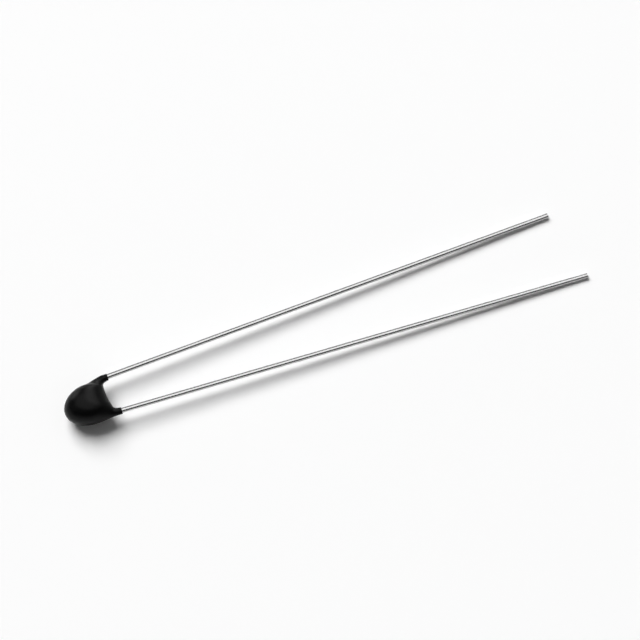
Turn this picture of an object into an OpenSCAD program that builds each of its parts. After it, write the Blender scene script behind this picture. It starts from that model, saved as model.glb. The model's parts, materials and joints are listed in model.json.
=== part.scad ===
// Thermistor with two wires: a ceramic chip soldered between the ends of two straight
// tinned wires and dipped in black epoxy. It lies on its bead and on the wires' ends.
// The shape is drawn flat first, with the chip's wires in the plane z = 0, the bead's
// widest place at x = 0 and the wires running towards +X, and is then laid down.

/* [Wires] */
// Diameter of the tinned wire
wire_d = 0.32; // [0.26:0.01:0.38]
// Distance between the wires where they leave the coating
lead_pitch = 2.34; // [2.2:0.02:2.5]
// Angle by which each wire spreads from the middle, in degrees
lead_splay = 2.1; // [0.5:0.1:3.5]
// Bare length of lead_a
lead_a_length = 29; // [10:0.05:40]
// Bare length of lead_b
lead_b_length = 29.8; // [10:0.05:40]
// Straight wire past the chip's near edge, up to the first bend
bend_run = 0.1; // [0.06:0.01:0.14]
// Radius of the bends inside the bead, to the middle of the wire
bend_r = 0.35; // [0.3:0.01:0.4]
// Slope of the stretch between the two bends of a wire, in degrees
bend_angle = 45; // [30:7.5:60]

/* [Chip] */
// Length and height of the ceramic chip
chip_side = 1.0; // [0.8:0.02:1.1]
// Thickness of the chip between its two faces
chip_t = 0.6; // [0.5:0.02:0.7]
// Distance from the bead's widest place to the middle of the chip
chip_back = 0.45; // [0.4:0.01:0.55]
// Thickness of the silver electrode fired on each face
electrode_t = 0.03; // [0.02:0.01:0.05]
// Bare ceramic round each electrode
electrode_margin = 0.05; // [0.02:0.01:0.08]
// Solder between a wire and its electrode
solder_film = 0.03; // [0.02:0.01:0.05]
// Solder over the outer side of a wire
solder_cover = 0.1; // [0.06:0.01:0.14]
// Bare electrode round the solder
solder_margin = 0.03; // [0.01:0.01:0.06]
// Distance from the inner end of a wire to the chip's far edge
wire_stop = 0.03; // [0.02:0.01:0.06]

/* [Bead] */
// Width of the bead across the two wires
bead_w = 2.52; // [2.4:0.02:2.7]
// Thickness of the bead
bead_t = 2.2; // [1.9:0.02:2.5]
// Length from the bead's widest place to the end of its nose
nose_length = 1.8; // [1.6:0.02:2.0]
// Distance by which the bead hangs to the side of lead_b
bead_shift = 0.17; // [0:0.01:0.2]
// Distance by which the nose leans further to that side
nose_lean = 0.06; // [0:0.01:0.1]
// How much the bead thins from its nose towards the wires
drop_taper = 0.18; // [0.05:0.01:0.3]
// Distance from the bead's widest place to the web between the wires
web_x = 1.06; // [1.0:0.01:1.1]
// Slope of the web's edge, which reaches further along lead_b, in degrees
web_slope = 4; // [0:0.5:7]
// Depth of the hollow in the web's edge
web_hollow = 0.09; // [0.02:0.01:0.12]

/* [Legs] */
// Distance from the bead's widest place to the end of the coating on lead_a
leg_a_x = 1.4; // [1.36:0.01:1.6]
// Distance from the bead's widest place to the end of the coating on lead_b
leg_b_x = 1.52; // [1.44:0.01:1.7]
// Thickness of the coating at the end of lead_a's leg, on the outer side
leg_a_outer_wall = 0.03; // [0.02:0.01:0.06]
// Thickness of the coating at the end of lead_b's leg, on the outer side
leg_b_outer_wall = 0.07; // [0.03:0.01:0.08]
// Thickness of the coating at the end of lead_a's leg, on the inner side
leg_a_inner_wall = 0.08; // [0.04:0.01:0.1]
// Thickness of the coating at the end of lead_b's leg, on the inner side
leg_b_inner_wall = 0.04; // [0.03:0.01:0.08]
// Thickness of the coating where lead_a's leg meets the bead
leg_a_root_wall = 0.04; // [0.03:0.01:0.07]
// Thickness of the coating where lead_b's leg meets the bead
leg_b_root_wall = 0.07; // [0.05:0.01:0.09]
// Extra coating between lead_a's leg and the web, which rounds the corner there
web_a_fillet = 0.12; // [0.06:0.01:0.14]
// Extra coating between lead_b's leg and the web
web_b_fillet = 0.06; // [0.04:0.01:0.1]
// Share of the step between bead and leg that is reached half way along it
shoulder_share = 0.55; // [0.4:0.01:0.6]

/* [Hidden] */
$fn = 48;
SIDE_A = 1;
SIDE_B = -1;
section_points = 40;
section_steps = 4;
rim_step = 22.5;
web_reach = 0.73;

wire_r = wire_d / 2;
splay_slope = tan(lead_splay);
electrode_side = chip_side - 2 * electrode_margin;
electrode_y = chip_t / 2;
solder_y = electrode_y + electrode_t;
solder_height = solder_film + wire_d + solder_cover;
solder_base_r = electrode_side / 2 - solder_margin;
solder_dome_r = (pow(solder_base_r, 2) + pow(solder_height, 2)) / (2 * solder_height);

// The wire's inner end lies along the chip, then two bends carry it out to its leg
inner_y = solder_y + solder_film + wire_r;
inner_x = -chip_back - chip_side / 2 + wire_stop;
inner_length = chip_side - wire_stop + bend_run;

// Half the bead's width, and half the web's width between its corners at the legs
rim_r = bead_w / 2;
web_half = (corner_y(SIDE_A) - corner_y(SIDE_B)) / 2;

// The bead's middle section, through the nose, sets its thickness and where it rests
nose_half = norm(rim_point(90) - web_point(middle_y(90))) / 2;
nose_middle_x = (web_point(middle_y(90)).x - nose_length) / 2;
peak_cos = (sqrt(1 + 8 * pow(drop_taper, 2)) - 1) / (4 * drop_taper);
peak = sqrt(1 - pow(peak_cos, 2)) * (1 + drop_taper * peak_cos);
flatness = bead_t / 2 / peak / nose_half;
rest_x = nose_middle_x - nose_half * peak_cos;

// Lying down, the bead's lowest place and the end of the longer wire are at z = 0
tip_x = max(leg_end(SIDE_A) + lead_a_length * cos(lead_splay),
            leg_end(SIDE_B) + lead_b_length * cos(lead_splay));
rest_tilt = atan((bead_t / 2 - wire_r) / (tip_x - rest_x));
rest_z = rest_x * sin(rest_tilt) + bead_t / 2 * cos(rest_tilt);
middle_x = (tip_x - nose_length) / 2;

function lerp(a, b, t) = a + (b - a) * t;
function leg_end(side) = side == SIDE_A ? leg_a_x : leg_b_x;
function outer_wall(side) = side == SIDE_A ? leg_a_outer_wall : leg_b_outer_wall;
function inner_wall(side) = side == SIDE_A ? leg_a_inner_wall : leg_b_inner_wall;
function root_wall(side) = side == SIDE_A ? leg_a_root_wall : leg_b_root_wall;
function web_fillet(side) = side == SIDE_A ? web_a_fillet : web_b_fillet;
function corner_y(side) =
    side * (lead_pitch / 2 - wire_r - root_wall(side) - web_fillet(side));
function bare_length(side) = side == SIDE_A ? lead_a_length : lead_b_length;

// A point of the bead's outer edge, by its angle from the side of lead_a round the nose
function rim_point(angle) = [
    -nose_length * sin(angle),
    rim_r * cos(angle) - bead_shift - nose_lean * sin(angle)
];

// A point of the web's edge, by its distance from the middle of the wires
function web_point(y) = [
    web_x - y * tan(web_slope) - web_hollow * (1 - pow(y / web_half, 2)),
    y
];
function middle_y(angle) = web_reach * web_half * cos(angle);

// The middle of a wire at x, and the coating's two edges there
function wire_point(side, x) = [
    x,
    side * (lead_pitch / 2 + (x - leg_end(side)) * splay_slope)
];
function leg_edges(side, x, inner, outer) =
    let (
        middle = wire_point(side, x),
        outwards = [-sin(lead_splay), side * cos(lead_splay)]
    )
    [
        middle - outwards * (wire_r + inner),
        middle + outwards * (wire_r + outer)
    ];

// Stations of one leg from its end to the bead: inner edge and outer edge
function leg_stations(side) =
    let (
        end_x = leg_end(side),
        root_x = web_point(corner_y(side)).x + web_fillet(side) / 3,
        root_inner = root_wall(side) + web_fillet(side),
        half_inner = lerp(inner_wall(side), root_inner, 0.25),
        half_outer = (outer_wall(side) + root_wall(side)) / 2,
        root = leg_edges(side, root_x, root_inner, root_wall(side)),
        rim = rim_point(side == SIDE_A ? 0 : 180)
    )
    [
        leg_edges(side, end_x, inner_wall(side), outer_wall(side)),
        leg_edges(side, (end_x + root_x) / 2, half_inner, half_outer),
        root,
        [
            web_point(lerp(corner_y(side), side * web_reach * web_half, 0.5)),
            [root_x / 2, lerp(rim.y, root[1].y, shoulder_share)]
        ]
    ];

// All stations, from the end of one leg through the bead to the end of the other
function reversed(list) = [for (i = [len(list) - 1 : -1 : 0]) list[i]];
stations = concat(
    leg_stations(SIDE_A),
    [for (angle = [0 : rim_step : 180]) [web_point(middle_y(angle)), rim_point(angle)]],
    reversed(leg_stations(SIDE_B))
);

// A smooth curve through four neighbouring values
function curve(a, b, c, d, t) =
    b + (c - a) * t / 2
    + (a - b * 2.5 + c * 2 - d / 2) * pow(t, 2)
    + (b * 1.5 - c * 1.5 + (d - a) / 2) * pow(t, 3);
function station_at(i, t) =
    let (last = len(stations) - 1)
    [for (edge = [0, 1])
        curve(
            stations[max(i - 1, 0)][edge],
            stations[i][edge],
            stations[min(i + 1, last)][edge],
            stations[min(i + 2, last)][edge],
            t
        )
    ];

// One closed section on the line from the inner edge to the outer edge:
// round on the legs, flatter and drop-shaped the longer the line gets
function section(edges) =
    let (
        middle = (edges[0] + edges[1]) / 2,
        across = (edges[1] - edges[0]) / 2,
        half = norm(across),
        share = half / nose_half,
        height = half * lerp(1, flatness, share)
    )
    [for (i = [0 : section_points - 1])
        let (
            angle = 360 * i / section_points,
            point = middle + across * cos(angle),
            z = height * sin(angle) * (1 + drop_taper * share * cos(angle))
        )
        [point.x, point.y, z]
    ];

module skin(sections) {
    count = len(sections);
    n = len(sections[0]);
    points = [for (ring = sections) each ring];
    sides = [
        for (i = [0 : count - 2], j = [0 : n - 1])
            let (
                a = i * n + j,
                b = i * n + (j + 1) % n
            )
            each [[a, b, a + n], [b, b + n, a + n]]
    ];
    first_end = [for (j = [n - 1 : -1 : 0]) j];
    last_end = [for (j = [0 : n - 1]) (count - 1) * n + j];
    polyhedron(points, concat(sides, [first_end, last_end]));
}

// Lays the shape down on its bead and on the ends of its wires
module laid_down() {
    translate([-middle_x, 0, rest_z]) rotate([0, rest_tilt, 0]) children();
}

// A straight stretch of wire along X, with what follows placed at its end
module straight(length) {
    rotate([0, 90, 0]) cylinder(r = wire_r, h = length);
    translate([length, 0, 0]) children();
}

// A bend that starts along X, to the left for a positive turn, and what follows it
module bend(turn) {
    centre_y = sign(turn) * bend_r;
    translate([0, centre_y, 0]) {
        rotate([0, 0, -sign(turn) * 90])
            rotate_extrude(angle = turn)
                translate([bend_r, 0]) circle(r = wire_r);
        rotate([0, 0, turn]) translate([0, -centre_y, 0]) children();
    }
}

// A whole wire on the side of lead_a, from its inner end at the chip to its tip
module wire(coating_end, bare) {
    run = [coating_end - inner_x, lead_pitch / 2 - inner_y];
    along = run.x * cos(lead_splay) + run.y * sin(lead_splay);
    aside = run.y * cos(lead_splay) - run.x * sin(lead_splay);
    slant_length = (aside - 2 * bend_r * (1 - cos(bend_angle))) / sin(bend_angle);
    jog_length = 2 * bend_r * sin(bend_angle) + slant_length * cos(bend_angle);
    out_length = along - inner_length - jog_length + bare;

    translate([inner_x, inner_y, 0])
        rotate([0, 0, lead_splay])
            straight(inner_length)
                bend(bend_angle)
                    straight(slant_length)
                        bend(-bend_angle)
                            straight(out_length);
}

module on_side(side) {
    if (side == SIDE_A) {
        children();
    } else {
        mirror([0, 1, 0]) children();
    }
}

module lead(side) {
    on_side(side) wire(leg_end(side), bare_length(side));
}

module electrode(side) {
    on_side(side)
        translate([-chip_back - electrode_side / 2, electrode_y, -electrode_side / 2])
            cube([electrode_side, electrode_t, electrode_side]);
}

// A dome of solder on the electrode, with the wire's place in it
module solder_dome(side) {
    on_side(side)
        translate([-chip_back, solder_y, 0])
            rotate([-90, 0, 0])
                intersection() {
                    translate([0, 0, solder_height - solder_dome_r]) sphere(r = solder_dome_r);
                    cylinder(r = 2 * solder_dome_r, h = solder_height + solder_dome_r);
                }
}

module solder(side) {
    difference() {
        solder_dome(side);
        lead(side);
    }
}

module chip() {
    translate([-chip_back - chip_side / 2, -chip_t / 2, -chip_side / 2])
        cube([chip_side, chip_t, chip_side]);
}

// The drop of epoxy, which fits closely round everything inside it
module drop() {
    difference() {
        skin([
            for (i = [0 : len(stations) - 2], j = [0 : section_steps - 1])
                section(station_at(i, j / section_steps)),
            section(stations[len(stations) - 1])
        ]);
        chip();
        for (side = [SIDE_A, SIDE_B]) {
            electrode(side);
            solder_dome(side);
            lead(side);
        }
    }
}

module coating() {
    color([0.06, 0.06, 0.065]) laid_down() drop();
}

module ceramic_chip() {
    color([0.2, 0.19, 0.18]) laid_down() chip();
}

module electrode_a() {
    color([0.85, 0.85, 0.82]) laid_down() electrode(SIDE_A);
}

module electrode_b() {
    color([0.85, 0.85, 0.82]) laid_down() electrode(SIDE_B);
}

module solder_a() {
    color([0.6, 0.62, 0.64]) laid_down() solder(SIDE_A);
}

module solder_b() {
    color([0.6, 0.62, 0.64]) laid_down() solder(SIDE_B);
}

module lead_a() {
    color([0.72, 0.73, 0.74]) laid_down() lead(SIDE_A);
}

module lead_b() {
    color([0.72, 0.73, 0.74]) laid_down() lead(SIDE_B);
}

coating();
ceramic_chip();
electrode_a();
electrode_b();
solder_a();
solder_b();
lead_a();
lead_b();
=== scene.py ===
import json
import math

import bmesh
import bpy
from mathutils import Matrix, Vector, noise


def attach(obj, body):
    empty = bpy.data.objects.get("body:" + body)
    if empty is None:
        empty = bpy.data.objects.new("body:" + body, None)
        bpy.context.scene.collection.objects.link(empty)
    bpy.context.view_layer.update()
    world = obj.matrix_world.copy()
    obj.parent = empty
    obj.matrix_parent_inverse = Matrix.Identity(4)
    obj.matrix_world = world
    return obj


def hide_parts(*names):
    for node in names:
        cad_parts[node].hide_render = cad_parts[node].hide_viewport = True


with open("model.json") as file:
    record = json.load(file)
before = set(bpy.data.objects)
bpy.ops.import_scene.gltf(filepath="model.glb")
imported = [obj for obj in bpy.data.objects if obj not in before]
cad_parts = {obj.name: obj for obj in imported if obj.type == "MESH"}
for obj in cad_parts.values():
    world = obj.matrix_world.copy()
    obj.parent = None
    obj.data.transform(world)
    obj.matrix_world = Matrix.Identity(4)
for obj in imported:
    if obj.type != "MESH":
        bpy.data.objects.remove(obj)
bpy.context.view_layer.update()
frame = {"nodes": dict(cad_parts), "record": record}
mm = 0.001  # every size below is in metres
print("frame loaded:", ", ".join(sorted(frame["nodes"])))


# directions and small helpers

def towards(azimuth, elevation):  # unit vector from the part to a place round it, in degrees
    a = math.radians(azimuth)
    e = math.radians(elevation)
    return Vector((math.sin(a) * math.cos(e), -math.cos(a) * math.cos(e), math.sin(e)))


def facing(direction):  # rotation that turns an object's own Z to a direction, for lamps and the camera
    return direction.to_track_quat("Z", "Y")


def newPiece(name, bm, smooth=True):
    mesh = bpy.data.meshes.new(name)
    bm.to_mesh(mesh)
    bm.free()
    for face in mesh.polygons:
        face.use_smooth = smooth
    piece = bpy.data.objects.new(name, mesh)
    bpy.context.scene.collection.objects.link(piece)
    return piece


def setMaterial(piece, material):
    piece.data.materials.clear()
    piece.data.materials.append(material)


# materials

def startMaterial(name):
    material = bpy.data.materials.new(name)
    material.use_nodes = True
    nodes = material.node_tree.nodes
    return material, nodes, material.node_tree.links, nodes["Principled BSDF"]


noiseSpan = (0.3, 0.7)  # noise seldom leaves this span, so its ends stand for low and high


def noiseOn(nodes, links, source, scale, detail):
    texture = nodes.new("ShaderNodeTexNoise")
    texture.inputs["Scale"].default_value = scale
    texture.inputs["Detail"].default_value = detail
    links.new(source, texture.inputs["Vector"])
    return texture.outputs["Fac"]


def spread(nodes, links, source, low, high):  # noise to a range of values
    mapRange = nodes.new("ShaderNodeMapRange")
    mapRange.inputs["From Min"].default_value = noiseSpan[0]
    mapRange.inputs["From Max"].default_value = noiseSpan[1]
    mapRange.inputs["To Min"].default_value = low
    mapRange.inputs["To Max"].default_value = high
    links.new(source, mapRange.inputs["Value"])
    return mapRange.outputs["Result"]


def blendColours(nodes, links, source, dark, light):
    ramp = nodes.new("ShaderNodeValToRGB")
    for element, position, colour in zip(ramp.color_ramp.elements, noiseSpan, (dark, light)):
        element.position = position
        element.color = (*colour, 1)
    links.new(source, ramp.inputs["Fac"])
    return ramp.outputs["Color"]


def bumpFrom(nodes, links, source, height, previous=None):
    bump = nodes.new("ShaderNodeBump")
    bump.inputs["Strength"].default_value = 1.0
    bump.inputs["Distance"].default_value = height
    links.new(source, bump.inputs["Height"])
    if previous is not None:
        links.new(previous, bump.inputs["Normal"])
    return bump.outputs["Normal"]


epoxyLook = {
    "dark": (0.0009, 0.0009, 0.001),
    "light": (0.0019, 0.0019, 0.002),
    "patchScale": 1800,  # cloudy pigment, about half a millimetre wide
    "rough": (0.28, 0.36),
    "roughScale": 3500,
    "peelScale": 6000,  # soft unevenness of a dipped skin
    "peelHeight": 0.004 * mm,
    "grainScale": 45000,  # filler grains just under the skin
    "grainHeight": 0.0006 * mm,
    "specular": 0.09,
}


def epoxyMaterial(look):
    material, nodes, links, shader = startMaterial("dippedEpoxy")
    place = nodes.new("ShaderNodeTexCoord").outputs["Object"]
    patches = noiseOn(nodes, links, place, look["patchScale"], detail=3.0)
    colour = blendColours(nodes, links, patches, look["dark"], look["light"])
    links.new(colour, shader.inputs["Base Color"])
    wear = noiseOn(nodes, links, place, look["roughScale"], detail=4.0)
    links.new(spread(nodes, links, wear, *look["rough"]), shader.inputs["Roughness"])
    waves = noiseOn(nodes, links, place, look["peelScale"], detail=2.0)
    peel = bumpFrom(nodes, links, waves, look["peelHeight"])
    grain = noiseOn(nodes, links, place, look["grainScale"], detail=2.0)
    links.new(bumpFrom(nodes, links, grain, look["grainHeight"], peel), shader.inputs["Normal"])
    shader.inputs["Specular IOR Level"].default_value = look["specular"]
    return material


wireLook = {
    "dark": (0.46, 0.46, 0.46),
    "light": (0.54, 0.54, 0.54),
    "rough": (0.16, 0.24),
    "drawWidth": 0.02 * mm,  # lines left by the drawing die
    "drawLength": 3.0 * mm,
    "drawHeight": 0.0008 * mm,
    "tinScale": 9000,  # faint mottling of the tin
}


def wireMaterial(name, axis, look):
    material, nodes, links, shader = startMaterial(name)
    place = nodes.new("ShaderNodeTexCoord").outputs["Object"]
    along = nodes.new("ShaderNodeMapping")  # its X runs along the wire
    along.vector_type = "TEXTURE"
    along.inputs["Rotation"].default_value = axis.to_track_quat("X", "Z").to_euler()
    along.inputs["Scale"].default_value = (look["drawLength"], look["drawWidth"], look["drawWidth"])
    links.new(place, along.inputs["Vector"])
    lines = noiseOn(nodes, links, along.outputs["Vector"], scale=1.0, detail=2.0)  # sized by the mapping
    mottle = noiseOn(nodes, links, place, look["tinScale"], detail=3.0)
    colour = blendColours(nodes, links, mottle, look["dark"], look["light"])
    links.new(colour, shader.inputs["Base Color"])
    links.new(spread(nodes, links, lines, *look["rough"]), shader.inputs["Roughness"])
    links.new(bumpFrom(nodes, links, lines, look["drawHeight"]), shader.inputs["Normal"])
    shader.inputs["Metallic"].default_value = 1.0
    return material


innerLooks = {  # metal is 0 for the ceramic and 1 for what is metal
    "chip": {"dark": (0.15, 0.14, 0.13), "light": (0.24, 0.23, 0.21), "metal": 0.0,
             "rough": (0.7, 0.9), "grainScale": 20000, "grainHeight": 0.001 * mm},
    "electrode": {"dark": (0.74, 0.74, 0.72), "light": (0.86, 0.86, 0.84), "metal": 1.0,
                  "rough": (0.4, 0.6), "grainScale": 25000, "grainHeight": 0.001 * mm},
    "solder": {"dark": (0.52, 0.54, 0.56), "light": (0.66, 0.68, 0.7), "metal": 1.0,
               "rough": (0.25, 0.45), "grainScale": 9000, "grainHeight": 0.001 * mm},
}


def innerMaterial(name, look):
    material, nodes, links, shader = startMaterial(name)
    place = nodes.new("ShaderNodeTexCoord").outputs["Object"]
    grain = noiseOn(nodes, links, place, look["grainScale"], detail=4.0)
    colour = blendColours(nodes, links, grain, look["dark"], look["light"])
    links.new(colour, shader.inputs["Base Color"])
    links.new(spread(nodes, links, grain, *look["rough"]), shader.inputs["Roughness"])
    links.new(bumpFrom(nodes, links, grain, look["grainHeight"]), shader.inputs["Normal"])
    shader.inputs["Metallic"].default_value = look["metal"]
    return material


# the two wires, from their inner ends at the chip to their cut tips

leadPlan = {
    "sides": 48,
    "innerRun": 1.07 * mm,  # straight stretch along the chip
    "bendRadius": 0.35 * mm,
    "bendAngle": 45.0,
    "bendSteps": 8,
    "hold": 0.03 * mm,  # short faces at the ends of a straight stretch keep its shading even
    "tipRound": 0.022 * mm,
    "tipRoundSteps": 3,
    "tipFlat": 0.02 * mm,
    "endReach": 2e-7,  # corners of the solid this close to its end belong to the end's ring
}


def wirePath(node, axis, reach):  # inner end, direction and distance across to the outer axis, length
    corners = [vertex.co.copy() for vertex in frame["nodes"][node].data.vertices]
    lengths = [corner.dot(axis) for corner in corners]
    firstRing = [c for c, l in zip(corners, lengths) if l < min(lengths) + reach]
    lastRing = [c for c, l in zip(corners, lengths) if l > max(lengths) - reach]
    start = sum(firstRing, Vector()) / len(firstRing)
    stop = sum(lastRing, Vector()) / len(lastRing)
    across = (stop - start) - axis * (stop - start).dot(axis)
    return start, across.normalized(), across.length, max(lengths) - min(lengths)


def buildLead(node, mountName, plan):
    mount = next(m for m in frame["record"]["mounts"] if m["name"] == mountName)
    axis = Vector(mount["axis"]).normalized()
    radius = mount["dims"]["r_mm"] * mm
    start, sideways, offset, length = wirePath(node, axis, plan["endReach"])
    turn = math.radians(plan["bendAngle"])
    slant = (offset - 2 * plan["bendRadius"] * (1 - math.cos(turn))) / math.sin(turn)
    jog = 2 * plan["bendRadius"] * math.sin(turn) + slant * math.cos(turn)
    upwards = axis.cross(sideways)
    bm = bmesh.new()
    pose = Matrix.Translation(start) @ axis.to_track_quat("Z", "Y").to_matrix().to_4x4()
    bmesh.ops.create_circle(bm, cap_ends=True, radius=radius, segments=plan["sides"], matrix=pose)
    edges = bm.edges[:]
    heading = axis.copy()
    here = start.copy()

    def goStraight(edges, here, heading, run):
        for step in (plan["hold"], run - 2 * plan["hold"], plan["hold"]):
            made = bmesh.ops.extrude_edge_only(bm, edges=edges)["geom"]
            verts = {item for item in made if isinstance(item, bmesh.types.BMVert)}
            bmesh.ops.translate(bm, verts=list(verts), vec=heading * step)
            edges = [item for item in made
                     if isinstance(item, bmesh.types.BMEdge) and verts.issuperset(item.verts)]
        return edges, here + heading * run

    def goRound(edges, here, heading, angle):
        centre = here + upwards.cross(heading) * math.copysign(plan["bendRadius"], angle)
        verts = list(dict.fromkeys(v for e in edges for v in e.verts))
        made = bmesh.ops.spin(bm, geom=verts + edges, cent=centre, axis=upwards, angle=angle,
                              steps=plan["bendSteps"])
        turned = Matrix.Rotation(angle, 3, upwards)
        edges = [item for item in made["geom_last"] if isinstance(item, bmesh.types.BMEdge)]
        return edges, centre + turned @ (here - centre), turned @ heading

    edges, here = goStraight(edges, here, heading, plan["innerRun"])
    edges, here, heading = goRound(edges, here, heading, turn)
    edges, here = goStraight(edges, here, heading, slant)
    edges, here, heading = goRound(edges, here, heading, -turn)
    edges, here = goStraight(edges, here, heading, length - plan["innerRun"] - jog)
    bmesh.ops.contextual_create(bm, geom=edges)
    bmesh.ops.recalc_face_normals(bm, faces=bm.faces)
    ends = [face for face in bm.faces if len(face.verts) == plan["sides"]]
    rims = [edge for face in ends for edge in face.edges]
    bmesh.ops.bevel(bm, geom=rims, offset=plan["tipRound"], offset_type="OFFSET", affect="EDGES",
                    segments=plan["tipRoundSteps"], profile=0.5, material=-1)
    ends = [face for face in bm.faces if len(face.verts) == plan["sides"]]
    bmesh.ops.inset_individual(bm, faces=ends, thickness=plan["tipFlat"])
    lead = newPiece(node + "_wire", bm)
    setMaterial(lead, wireMaterial(node + "Tin", axis, wireLook))
    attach(lead, "root")
    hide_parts(node)


buildLead("lead_a", "lead_a_pin", leadPlan)
buildLead("lead_b", "lead_b_pin", leadPlan)
print("wires drawn")


# the dipped coating: the solid's own rings, bridged again into a smooth skin

coatingPlan = {
    "merge": 1e-7,
    "sharp": 60.0,  # degrees, parts the skin from the legs' ends and the inner walls
    "flat": 1.0,  # degrees, under which faces count as one flat wall
    "endRound": 0.014 * mm,
    "endRoundSteps": 2,
    "waveHeight": 0.006 * mm,
    "waveScale": 1.6 / mm,
    "levels": 2,
}


def facesReached(start, limit):  # every face that can be reached without crossing a sharper edge
    found = set(start)
    queue = list(found)
    while queue:
        face = queue.pop()
        for edge in face.edges:
            if edge.is_manifold and edge.calc_face_angle() < limit:
                for other in edge.link_faces:
                    if other not in found:
                        found.add(other)
                        queue.append(other)
    return found


def ringsOf(skin):  # vertex rings from one leg's end round the bead to the other leg's end
    skinVerts = {v for face in skin for v in face.verts}
    rims = {v for v in skinVerts if any(face not in skin for face in v.link_faces)}
    ring = {v for v in rims if v.co.y > 0}
    rings = []
    seen = set()
    while ring:
        rings.append(ring)
        seen |= ring
        ring = {e.other_vert(v) for v in ring for e in v.link_edges} & skinVerts - seen
    return rings


def tidyInside(bm, skin, rims, limit):  # joins flat inner walls, bridges each leg's end to its wire's hole
    rimFaces = [{face for edge in rim for face in edge.link_faces} for rim in rims]
    ends = [facesReached(faces - skin, limit) for faces in rimFaces]
    walls = set(bm.faces).difference(skin, *ends)
    seams = [edge for edge in bm.edges if walls.issuperset(edge.link_faces)]
    bmesh.ops.dissolve_limit(bm, angle_limit=limit, verts=[], edges=seams)
    for end in ends:
        borders = [edge for edge in bm.edges if len(end.intersection(edge.link_faces)) == 1]
        bmesh.ops.delete(bm, geom=list(end), context="FACES")
        bmesh.ops.bridge_loops(bm, edges=borders)


def buildCoating(plan):
    bm = bmesh.new()
    bm.from_mesh(frame["nodes"]["coating"].data)
    bmesh.ops.remove_doubles(bm, verts=bm.verts, dist=plan["merge"])
    crease = bm.edges.layers.float.new("crease_edge")
    nose = min(bm.verts, key=lambda v: v.co.x)
    skin = facesReached(nose.link_faces, math.radians(plan["sharp"]))
    rings = ringsOf(skin)
    print("coating rings:", len(rings), "with", {len(r) for r in rings})
    level = {v: i for i, ring in enumerate(rings) for v in ring}
    skinEdges = [edge for edge in bm.edges if not skin.isdisjoint(edge.link_faces)]
    loops = [[edge for edge in skinEdges if ring.issuperset(edge.verts)] for ring in rings]
    tidyInside(bm, skin, (loops[0], loops[-1]), math.radians(plan["flat"]))
    crossing = [edge for edge in skinEdges if level[edge.verts[0]] != level[edge.verts[1]]]
    bmesh.ops.delete(bm, geom=crossing, context="EDGES")
    for i in range(len(loops) - 1):
        bmesh.ops.bridge_loops(bm, edges=loops[i] + loops[i + 1])
    bmesh.ops.recalc_face_normals(bm, faces=bm.faces)
    for ring in rings[1:-1]:
        for vertex in ring:
            wave = noise.noise(vertex.co * plan["waveScale"])
            vertex.co += vertex.normal * wave * plan["waveHeight"]
    for edge in bm.edges:
        if not all(v in level for v in edge.verts):
            edge[crease] = 1.0
    bmesh.ops.bevel(bm, geom=loops[0] + loops[-1], offset=plan["endRound"], offset_type="OFFSET",
                    affect="EDGES", segments=plan["endRoundSteps"], profile=0.5, material=-1)
    piece = newPiece("coating_skin", bm)
    smoothing = piece.modifiers.new("smoothing", "SUBSURF")
    smoothing.levels = plan["levels"]
    smoothing.render_levels = plan["levels"]
    setMaterial(piece, epoxyMaterial(epoxyLook))
    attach(piece, "root")
    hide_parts("coating")


buildCoating(coatingPlan)
print("coating dipped")


# what the coating hides keeps its solid and gets its finish

chipNodes = {
    "ceramic_chip": "chip",
    "electrode_a": "electrode",
    "electrode_b": "electrode",
    "solder_a": "solder",
    "solder_b": "solder",
}
innerMaterials = {slot: innerMaterial(slot + "Finish", look) for slot, look in innerLooks.items()}
for node, slot in chipNodes.items():
    setMaterial(frame["nodes"][node], innerMaterials[slot])
print("chip, electrodes and solder finished")


# floor, lamps and surroundings

floorPlan = {"half": 6.0, "colour": (0.97, 0.97, 0.97), "rough": 0.6}


def buildFloor(plan):
    bm = bmesh.new()
    bmesh.ops.create_grid(bm, x_segments=1, y_segments=1, size=plan["half"])
    floor = newPiece("floor", bm, smooth=False)
    material, _, _, shader = startMaterial("paleTable")
    shader.inputs["Base Color"].default_value = (*plan["colour"], 1)
    shader.inputs["Roughness"].default_value = plan["rough"]
    shader.inputs["Specular IOR Level"].default_value = 0.0
    setMaterial(floor, material)


lampPlans = {  # glow is how bright a lamp's face is, where 1 is white; width and height are in metres
    "key": {"azimuth": 195, "elevation": 52.5, "distance": 4, "width": 3.0, "height": 3.0, "glow": 9.0,
            "lights": True, "mirrored": False},
    "topCard": {"azimuth": 158, "elevation": 76, "distance": 3, "width": 4.2, "height": 4.2, "glow": 1.5,
                "lights": False, "mirrored": True},
    "leftCard": {"azimuth": 199, "elevation": 10, "distance": 3, "width": 1.6, "height": 2.6, "glow": 3.4,
                 "lights": False, "mirrored": True},
    "rightCard": {"azimuth": 122, "elevation": 40, "distance": 3, "width": 1.8, "height": 2.0, "glow": 2.5,
                  "lights": False, "mirrored": True},
    "backCard": {"azimuth": 146, "elevation": 16, "distance": 3, "width": 1.4, "height": 2.0, "glow": 3.8,
                 "lights": False, "mirrored": True},
    "sideCard": {"azimuth": 266, "elevation": 42, "distance": 3, "width": 2.8, "height": 2.4, "glow": 0.35,
                 "lights": False, "mirrored": True},
}


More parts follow.
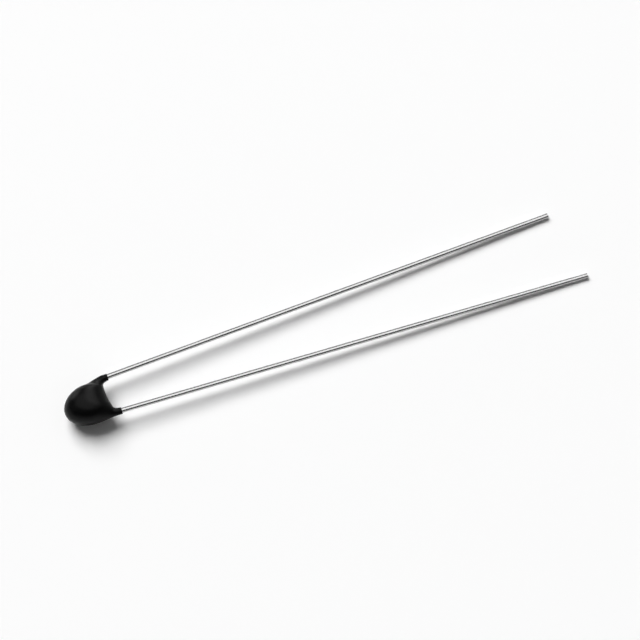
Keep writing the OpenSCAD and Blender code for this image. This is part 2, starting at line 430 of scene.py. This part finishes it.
def buildLamp(name, plan):
    lamp = bpy.data.lights.new(name, "AREA")
    lamp.shape = "ELLIPSE"
    lamp.size = plan["width"]
    lamp.size_y = plan["height"]
    lamp.energy = plan["glow"] * math.pi ** 2 * plan["width"] * plan["height"] / 4
    holder = bpy.data.objects.new(name, lamp)
    direction = towards(plan["azimuth"], plan["elevation"])
    holder.location = direction * plan["distance"]
    holder.rotation_mode = "QUATERNION"
    holder.rotation_quaternion = facing(direction)
    holder.visible_diffuse = plan["lights"]
    holder.visible_glossy = plan["mirrored"]
    bpy.context.scene.collection.objects.link(holder)


worldPlan = {  # pale up to just above the horizon, dim above it
    "horizon": 0.9,
    "zenith": 0.12,
    "edge": 0.06,  # height where the pale part ends, from 0 at the horizon to 1 straight up
    "top": 0.085,  # height where the dim part begins
}


def buildWorld(plan):
    world = bpy.data.worlds.new("studio")
    bpy.context.scene.world = world
    world.use_nodes = True
    nodes = world.node_tree.nodes
    links = world.node_tree.links
    place = nodes.new("ShaderNodeTexCoord").outputs["Generated"]
    parts = nodes.new("ShaderNodeSeparateXYZ")
    links.new(place, parts.inputs[0])
    ramp = nodes.new("ShaderNodeValToRGB")
    ramp.color_ramp.elements[0].position = plan["edge"]
    ramp.color_ramp.elements[0].color = (plan["horizon"],) * 3 + (1,)
    ramp.color_ramp.elements[1].position = plan["top"]
    ramp.color_ramp.elements[1].color = (plan["zenith"],) * 3 + (1,)
    links.new(parts.outputs["Z"], ramp.inputs["Fac"])
    links.new(ramp.outputs["Color"], nodes["Background"].inputs["Color"])


cameraPlan = {
    "azimuth": -19.768,
    "elevation": 70.0,
    "lens": 300.0,
    "sensor": 36.0,
    "target": (0.028 * mm, 0.259 * mm, 1.0 * mm),
    "distance": 324.7 * mm,
    "nearest": 10 * mm,  # what is closer to the camera than this isn't drawn
}


def buildCamera(plan):
    camera = bpy.data.cameras.new("camera")
    camera.lens = plan["lens"]
    camera.sensor_width = plan["sensor"]
    camera.clip_start = plan["nearest"]
    holder = bpy.data.objects.new("camera", camera)
    back = towards(plan["azimuth"], plan["elevation"])
    holder.location = Vector(plan["target"]) + back * plan["distance"]
    holder.rotation_mode = "QUATERNION"
    holder.rotation_quaternion = facing(back)
    bpy.context.scene.collection.objects.link(holder)
    bpy.context.scene.camera = holder


buildFloor(floorPlan)
for name, plan in lampPlans.items():
    buildLamp(name, plan)
buildWorld(worldPlan)
buildCamera(cameraPlan)
bpy.context.scene.view_settings.view_transform = "Standard"
print("studio set")
